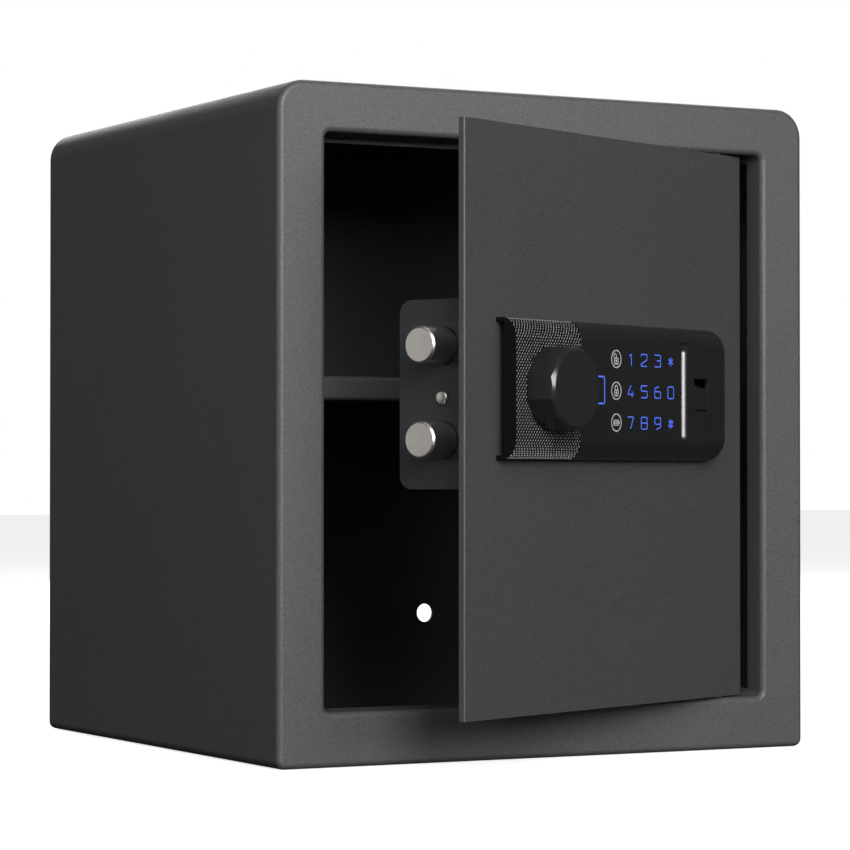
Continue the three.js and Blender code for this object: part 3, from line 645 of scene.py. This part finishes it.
def trim_strip():
    """A half-round bar with rounded ends."""
    low, high = local_box("trim_bar")
    half, mid = (high.x - low.x) / 2, (high.x + low.x) / 2
    foot, crown = high.y, high.y - low.y
    bm = bmesh.new()
    rings = []
    stops = [math.pi / 2 * i / 8 for i in range(1, 9)]
    lower = [(low.z + half * (1 - math.cos(a)), math.sin(a)) for a in stops]
    upper = [(low.z + high.z - z, k) for z, k in reversed(lower)]
    arc = [math.pi * i / 24 for i in range(25)]
    for z, k in [(low.z + 0.02, 0.08), *lower, *upper, (high.z - 0.02, 0.08)]:
        reach = crown * (0.35 + 0.65 * k)
        section = [(mid + half * k * math.cos(a), foot - reach * math.sin(a), z) for a in arc]
        rings.append([bm.verts.new(point) for point in section])
    for a, b in zip(rings, rings[1:]):
        for i in range(len(arc)):
            j = (i + 1) % len(arc)
            bm.faces.new((a[i], a[j], b[j], b[i]))
    bm.faces.new(rings[0])
    bm.faces.new(rings[-1][::-1])
    piece("trim_bar_fine", bm, DOOR, "door", TRIM, "trim_metal", ("trim_bar",), 0, 60)


mesh_dots()
mesh_ribs()
trim_strip()

# ---- Lit digits, and printed symbols with a painted glow ----
INK = (PANEL_T - 0.05, PANEL_T + 0.05)
COLUMNS = (145.5, 159.9, 174.5, 188.9)  # mm from the door's free edge
ROWS = (238, 219.4, 200.8)  # mm up
SYMBOL_COLUMN = 130.3
DIGIT = (6.4, 7.0)  # a character's width and height
STROKE = 0.66
OPEN_CORNER, CLOSED_CORNER = 1.1, 1.5
# Each character's strokes, in shares of the digit's width and height.
GLYPHS = {
    "1": [[(0.28, 0.78), (0.62, 1), (0.62, 0)]],
    "2": [[(0, 0.8), (0, 1), (1, 1), (1, 0.55), (0, 0.18), (0, 0), (1, 0)]],
    "3": [[(0, 1), (1, 1), (1, 0), (0, 0)], [(0.35, 0.52), (1, 0.52)]],
    "4": [[(0.55, 1), (0, 0.24), (1, 0.24)], [(0.74, 0.5), (0.74, 0)]],
    "5": [[(1, 1), (0, 1), (0, 0.56), (1, 0.56), (1, 0), (0, 0)]],
    "6": [[(0.75, 1), (0, 0.82), (0, 0), (1, 0), (1, 0.55), (0, 0.55)]],
    "7": [[(0, 1), (1, 1), (0.45, 0)]],
    "9": [[(1, 0.45), (0, 0.45), (0, 1), (1, 1), (1, 0.18), (0.25, 0)]],
    "*": [[(0.5, 0.88), (0.5, 0.12)], [(0.12, 0.7), (0.88, 0.3)], [(0.12, 0.3), (0.88, 0.7)]],
    "8": [[(0, 0.52), (1, 0.52)]],
    "#": [
        [(0.28, 0.12), (0.38, 0.88)],
        [(0.62, 0.12), (0.72, 0.88)],
        [(0.08, 0.33), (0.88, 0.33)],
        [(0.12, 0.67), (0.92, 0.67)],
    ],
}
BOX_STROKE = [(0, 0), (1, 0), (1, 1), (0, 1)]
CLOSED = {"0": [BOX_STROKE], "8": [BOX_STROKE]}
NAMES = {"*": "star", "#": "hash"}


def glyph(text, s, z):
    """One character of the keypad, centred on (s, z)."""
    width, height = DIGIT

    def placed(path):
        return [(s + (x - 0.5) * width, z + (y - 0.5) * height) for x, y in path]

    bm = bmesh.new()
    weight = STROKE * (1.1 if text in NAMES else 1)
    for path in GLYPHS.get(text, []):
        ribbon(bm, rounded(placed(path), OPEN_CORNER), weight, *INK)
    for path in CLOSED.get(text, []):
        ribbon(bm, rounded(placed(path), CLOSED_CORNER, True), weight, *INK, True)
    piece("key_" + NAMES.get(text, text), bm, DOOR, "door", GLYPH_BLUE, "", (), 0)


for row, line in zip(ROWS, ("123*", "4560", "789#")):
    for column, text in zip(COLUMNS, line):
        glyph(text, column, row)

BRACKET = [(111.6, 227.4), (118, 227.4), (118, 211.7), (111.6, 211.7)]
bm = bmesh.new()
ribbon(bm, rounded(BRACKET, 1.6), 0.9, *INK)
piece("lit_bracket", bm, DOOR, "door", GLYPH_BLUE, "", (), 0)


def arc_points(s, z, radius, turns):
    return [(s + radius * math.cos(a), z + radius * math.sin(a)) for a in turns]


CIRCLE = [2 * math.pi * i / 40 for i in range(40)]
HALF_CIRCLE = [math.pi - math.pi * i / 12 for i in range(13)]


def box_path(s, z, left, right, low, high):
    """A rectangle's corners, by its distances from (s, z)."""
    return [(s + left, z + low), (s + right, z + low), (s + right, z + high), (s + left, z + high)]


def symbol(name, s, z):
    """One of the printed marks, in its circle."""
    bm = bmesh.new()
    ribbon(bm, arc_points(s, z, 5.0, CIRCLE), 0.75, *INK, True)
    if name == "battery":
        case = rounded(box_path(s, z, -2.7, 2.4, -1.5, 1.5), 0.5, True)
        ribbon(bm, case, 0.5, *INK, True)
        ribbon(bm, [(s + 3.0, z - 0.7), (s + 3.0, z + 0.7)], 0.6, *INK)
        for x in (-1.7, -0.2, 1.3):
            ribbon(bm, [(s + x, z - 0.9), (s + x, z + 0.9)], 0.9, *INK)
    else:
        shift = -1.1 if name == "open_lock" else 0
        body = rounded(box_path(s, z, -1.9, 1.9, -2.9, 0.5), 0.8, True)
        ribbon(bm, body, 0.7, *INK, True)
        ribbon(bm, [(s, z - 2.0), (s, z - 0.4)], 1.5, *INK)
        middle, foot, radius = s + shift, z + 0.6, 1.4
        bow = arc_points(middle, z + 1.7, radius, HALF_CIRCLE)
        ribbon(bm, [(middle - radius, foot), *bow, (middle + radius, foot)], 0.6, *INK)
    # The printed marks glow as painted light.
    piece("symbol_" + name, bm, DOOR, "door", PRINT_WHITE_GLOW, "", (), 0)


for name, row in zip(("open_lock", "closed_lock", "battery"), ROWS):
    symbol(name, SYMBOL_COLUMN, row)

# ---- Studio ----
FLOOR_SIZE, FLOOR_DROP = 12, 0.0004
FLOOR_GLOW, FLOOR_BOUNCE = 0.75, 0.04
BACKDROP, AMBIENT = 1.0, 0.065
WHITE = (1, 1, 1, 1)
LIGHT_TARGET = (0, 0, 0.2)


def floor_piece():
    """A pale floor. It throws little back at the object, so dark glossy parts stay dark."""
    bm = bmesh.new()
    bmesh.ops.create_grid(bm, x_segments=2, y_segments=2, size=FLOOR_SIZE)
    bm.transform(Matrix.Translation((0, 0, -FLOOR_DROP)))
    data = bpy.data.meshes.new("floor")
    bm.to_mesh(data)
    bm.free()
    obj = bpy.data.objects.new("floor", data)
    bpy.context.scene.collection.objects.link(obj)
    finish = Finish("floor", (0.8, 0.8, 0.8), 0.7, Specular_IOR_Level=0.1)
    finish.mottle(finish.noise(300, 2), 0.01)
    finish.set("Emission Color", WHITE)
    finish.set("Emission Strength", FLOOR_GLOW)
    dim = finish.add("ShaderNodeBsdfDiffuse")
    dim.inputs["Color"].default_value = (FLOOR_BOUNCE, FLOOR_BOUNCE, FLOOR_BOUNCE, 1)
    output = finish.tree.nodes["Material Output"]
    seen_directly(finish.tree, dim.outputs[0], finish.shader.outputs[0], output)
    data.materials.append(finish.made)


def seen_directly(tree, otherwise, seen, output):
    """Shows one shader to the eye and lights the object with the other."""
    choose = tree.nodes.new("ShaderNodeMixShader")
    path = tree.nodes.new("ShaderNodeLightPath")
    tree.links.new(path.outputs["Is Camera Ray"], choose.inputs["Fac"])
    tree.links.new(otherwise, choose.inputs[1])
    tree.links.new(seen, choose.inputs[2])
    tree.links.new(choose.outputs["Shader"], output.inputs["Surface"])


floor_piece()

world = bpy.data.worlds.new("studio")
bpy.context.scene.world = world
world.use_nodes = True
room = world.node_tree
ambient = room.nodes["Background"]
ambient.inputs["Color"].default_value = WHITE
ambient.inputs["Strength"].default_value = AMBIENT
backdrop = room.nodes.new("ShaderNodeBackground")
backdrop.inputs["Color"].default_value = WHITE
backdrop.inputs["Strength"].default_value = BACKDROP
seen_directly(room, ambient.outputs[0], backdrop.outputs[0], room.nodes["World Output"])

sun_data = bpy.data.lights.new("top", "SUN")
sun_data.energy = 0.25
sun_data.angle = math.radians(40)
sun = bpy.data.objects.new("top", sun_data)
bpy.context.scene.collection.objects.link(sun)


def area_light(name, azimuth, elevation, distance, size, power):
    """Adds a light that faces the safe. azimuth is from -Y towards +X, in degrees."""
    a, e = math.radians(azimuth), math.radians(elevation)
    towards = Vector((math.sin(a) * math.cos(e), -math.cos(a) * math.cos(e), math.sin(e)))
    data = bpy.data.lights.new(name, "AREA")
    data.shape = "RECTANGLE"
    data.size, data.size_y = size
    data.energy = power
    obj = bpy.data.objects.new(name, data)
    obj.location = Vector(LIGHT_TARGET) + towards * distance
    obj.rotation_euler = towards.to_track_quat("Z", "Y").to_euler()
    bpy.context.scene.collection.objects.link(obj)


area_light("key", -12, 16, 3.0, (0.9, 1.2), 56)
area_light("front", 14, 14, 3.2, (1.4, 1.2), 23)
area_light("high", -24, 34, 3.0, (1.4, 0.6), 24)
area_light("gap", -38, 6, 3.0, (0.4, 1.0), 7)
area_light("edge", -62, 12, 3.0, (0.22, 1.6), 4)
area_light("left", -102, 5, 2.5, (0.9, 0.9), 2.6)
area_light("rear", 138, 45, 3.2, (2.0, 1.6), 34)
area_light("rear_low", 166, 14, 3.2, (1.2, 1.2), 26)

bpy.context.scene.view_settings.view_transform = "Standard"
